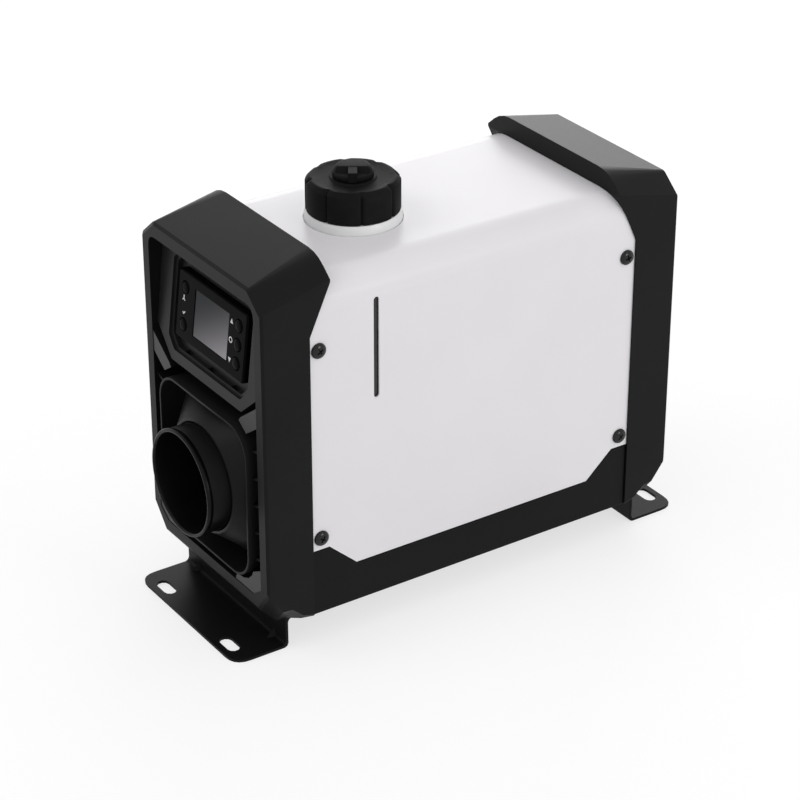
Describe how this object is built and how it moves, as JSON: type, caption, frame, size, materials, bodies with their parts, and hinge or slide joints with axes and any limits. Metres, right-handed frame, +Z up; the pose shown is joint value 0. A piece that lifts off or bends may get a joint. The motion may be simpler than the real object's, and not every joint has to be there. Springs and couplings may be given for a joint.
{
  "type": "diesel air heater",
  "caption": "Portable diesel air heater in a white steel and black plastic case, with a round warm air outlet, display, fuel cap and slotted feet",
  "frame": {"origin": "on the floor under the middle of the whole object", "axes": "+Z up, -Y the way the warm air leaves (front), +X the side with the fuel level slot"},
  "size_m": [0.1598, 0.387, 0.315],
  "materials": {
    "white_paint": "satin",
    "black_paint": "satin",
    "black_plastic": "fine grain",
    "console_plastic": "satin",
    "cap_plastic": "satin",
    "gloss_plastic": "gloss",
    "tank_plastic": "translucent",
    "smoked_plastic": "gloss",
    "screen_glass": "gloss",
    "circuit_board": "satin",
    "rubber": "matte",
    "cast_aluminium": "cast",
    "plain_steel": "brushed",
    "black_screw": "black oxide"
  },
  "bodies": {
    "case": {"base_tray": "black_paint", "body_cover": "white_paint", "front_cover": "black_plastic", "rear_cover": "black_plastic", "level_window": "smoked_plastic", "cable_grommet": "rubber", "display_console": "console_plastic", "controller_case": "gloss_plastic", "controller_back": "black_plastic", "controller_board": "circuit_board", "lcd_screen": "screen_glass", "duct_bezel": "console_plastic", "outlet_spout": "black_plastic", "air_duct": "black_plastic", "fuel_tank": "tank_plastic", "tank_shelf": "plain_steel", "core_shell_lower": "black_plastic", "core_shell_upper": "black_plastic", "heat_exchanger": "cast_aluminium", "base_gasket": "rubber", "exhaust_pipe": "plain_steel", "combustion_air_pipe": "cast_aluminium", "burner": "plain_steel", "glow_plug": "plain_steel", "scroll_housing": "cast_aluminium", "blower_motor": "plain_steel", "inlet_guard": "black_plastic", "control_unit": "black_plastic", "fuel_pump": "plain_steel", "pump_clamp": "rubber", "suction_hose": "rubber", "feed_hose": "rubber", "front_foot": "black_paint", "rear_foot": "black_paint", "screw_front_left_low": "black_screw", "screw_front_left_high": "black_screw", "screw_front_right_low": "black_screw", "screw_front_right_high": "black_screw", "screw_rear_left_low": "black_screw", "screw_rear_left_high": "black_screw", "screw_rear_right_low": "black_screw", "screw_rear_right_high": "black_screw", "foot_screw_front_left": "black_screw", "foot_screw_front_right": "black_screw", "foot_screw_rear_left": "black_screw", "foot_screw_rear_right": "black_screw"},
    "fan_rotor": {"motor_shaft": "plain_steel", "cabin_fan": "black_plastic", "combustion_impeller": "cast_aluminium"},
    "cap_liner": {"cap_gasket": "rubber"},
    "cap": {"fuel_cap": "cap_plastic", "cap_vent": "cap_plastic"},
    "settings_button_body": {"settings_button": "gloss_plastic"},
    "ok_button_body": {"ok_button": "gloss_plastic"},
    "up_button_body": {"up_button": "gloss_plastic"},
    "power_button_body": {"power_button": "gloss_plastic"},
    "down_button_body": {"down_button": "gloss_plastic"}
  },
  "joints": [
    {"name": "fan_spin", "type": "hinge", "parent": "case", "child": "fan_rotor", "pos_m": [0, 0, 0.1125], "axis": [0, 1, 0], "continuous": true},
    {"name": "cap_lift", "type": "slide", "parent": "case", "child": "cap_liner", "axis": [0, 0, 1], "range_m": [0, 0.0061]},
    {"name": "cap_turn", "type": "hinge", "parent": "cap_liner", "child": "cap", "pos_m": [0, -0.05, 0.29], "axis": [0, 0, 1], "range_deg": [0, 540]},
    {"name": "settings_button_press", "type": "slide", "parent": "case", "child": "settings_button_body", "axis": [0, 0.993, -0.1184], "range_m": [0, 0.0008], "stiffness_N_per_m": 400},
    {"name": "ok_button_press", "type": "slide", "parent": "case", "child": "ok_button_body", "axis": [0, 0.993, -0.1184], "range_m": [0, 0.0008], "stiffness_N_per_m": 400},
    {"name": "up_button_press", "type": "slide", "parent": "case", "child": "up_button_body", "axis": [0, 0.993, -0.1184], "range_m": [0, 0.0008], "stiffness_N_per_m": 400},
    {"name": "power_button_press", "type": "slide", "parent": "case", "child": "power_button_body", "axis": [0, 0.993, -0.1184], "range_m": [0, 0.0008], "stiffness_N_per_m": 400},
    {"name": "down_button_press", "type": "slide", "parent": "case", "child": "down_button_body", "axis": [0, 0.993, -0.1184], "range_m": [0, 0.0008], "stiffness_N_per_m": 400}
  ],
  "couplings": [
    {"joint": "cap_lift", "follows": "cap_turn", "m_per_rad": 0.00063662}
  ]
}
